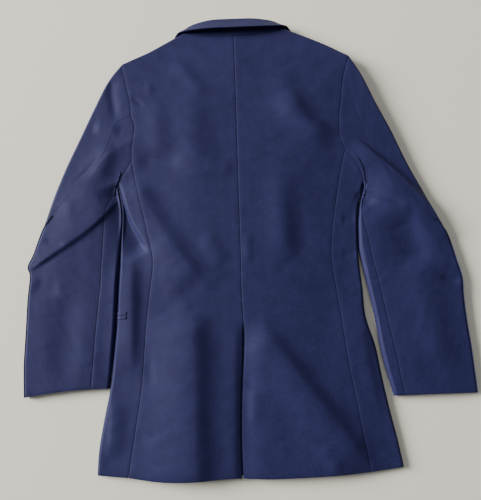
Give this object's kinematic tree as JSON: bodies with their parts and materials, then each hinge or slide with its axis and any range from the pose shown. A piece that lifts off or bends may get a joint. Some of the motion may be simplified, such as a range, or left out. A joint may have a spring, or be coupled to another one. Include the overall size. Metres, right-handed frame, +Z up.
{
  "type": "flight attendant uniform jacket",
  "caption": "Long fitted uniform jacket with a centre back vent, lying flat face down: hem, cuffs and neck are open and the sleeves lie beside the body.",
  "frame": {"origin": "centre of the underside of the bounding box, on the surface the jacket lies on", "axes": "+X to the wearer's right, +Y from the hem to the collar, +Z up, out of the back of the jacket"},
  "size_m": [0.738, 0.7885, 0.0353],
  "materials": {
    "navy_cloth": "smooth twill-woven suiting, soft sheen",
    "button": "dark navy, half gloss"
  },
  "bodies": {
    "root": {"back_left": "navy_cloth", "back_right": "navy_cloth", "vent_underlap": "navy_cloth", "side_left": "navy_cloth", "side_right": "navy_cloth", "front_left": "navy_cloth", "front_right": "navy_cloth", "lapel_left": "navy_cloth", "lapel_right": "navy_cloth", "collar": "navy_cloth", "sleeve_top_left": "navy_cloth", "sleeve_top_right": "navy_cloth", "sleeve_under_left": "navy_cloth", "sleeve_under_right": "navy_cloth", "pocket_left_upper": "navy_cloth", "pocket_left_lower": "navy_cloth", "pocket_right_upper": "navy_cloth", "pocket_right_lower": "navy_cloth", "button_top": "button", "button_middle": "button", "button_lower": "button"}
  },
  "joints": []
}
